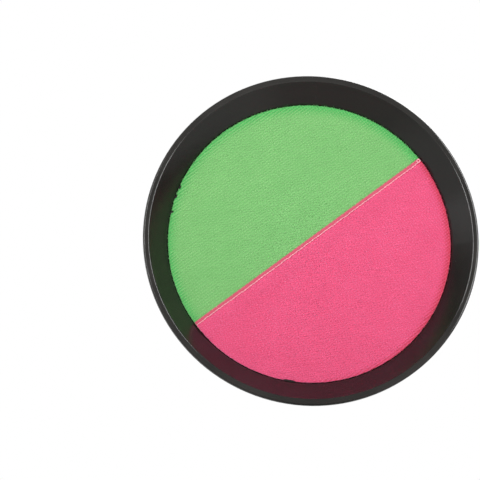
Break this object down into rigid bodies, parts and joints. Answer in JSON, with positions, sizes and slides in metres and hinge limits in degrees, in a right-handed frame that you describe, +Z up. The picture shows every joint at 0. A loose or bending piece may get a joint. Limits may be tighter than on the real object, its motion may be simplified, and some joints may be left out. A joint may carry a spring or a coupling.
{
  "type": "hook and loop catch paddle",
  "caption": "Round shallow dish with a hook fabric catch face sewn from green and pink panels, and an adjustable webbing hand strap on its back.",
  "frame": {"origin": "centre of the back of the dish's floor, where the palm rests under the strap", "axes": "+Z up as the paddle is shown, -Y out of the catch face, +Y out of the back through the hand strap, +X to the right seen from the front"},
  "size_m": [0.19, 0.057, 0.19],
  "materials": {
    "moulded_black": "satin moulded polypropylene",
    "adhesive": "clear tacky film over black",
    "green_hook_fabric": "woven nylon hook fabric",
    "pink_hook_fabric": "woven nylon hook fabric",
    "pink_thread": "polyester sewing thread",
    "moulded_anchor": "satin moulded nylon",
    "steel": "zinc plated",
    "webbing": "woven polypropylene webbing",
    "loop_tape": "brushed nylon loop pile",
    "hook_tape": "nylon hooks",
    "strap_thread": "polyester sewing thread"
  },
  "bodies": {
    "paddle": {"dish": "moulded_black", "adhesive_sheet": "adhesive", "green_hook_panel": "green_hook_fabric", "pink_hook_panel": "pink_hook_fabric", "seam_stitches": "pink_thread", "left_strap_anchor": "moulded_anchor", "right_strap_anchor": "moulded_anchor", "left_strap_pin": "steel", "right_strap_pin": "steel", "anchor_rivets": "steel", "rivet_washers": "steel"},
    "lower_strap_body": {"lower_strap": "webbing", "loop_patch": "loop_tape", "lower_strap_stitches": "strap_thread", "loop_patch_stitches": "strap_thread"},
    "upper_strap_body": {"upper_strap": "webbing", "hook_patch": "hook_tape", "upper_strap_stitches": "strap_thread", "hook_patch_stitches": "strap_thread"}
  },
  "joints": [
    {"name": "upper_strap_peel", "type": "hinge", "parent": "paddle", "child": "upper_strap_body", "pos_m": [0.0628, 0.00675, 0], "axis": [0, 0, -1], "range_deg": [0, 120]},
    {"name": "lower_strap_swing", "type": "hinge", "parent": "paddle", "child": "lower_strap_body", "pos_m": [-0.0628, 0.00675, 0], "axis": [0, 0, -1], "range_deg": [0, 18]}
  ]
}
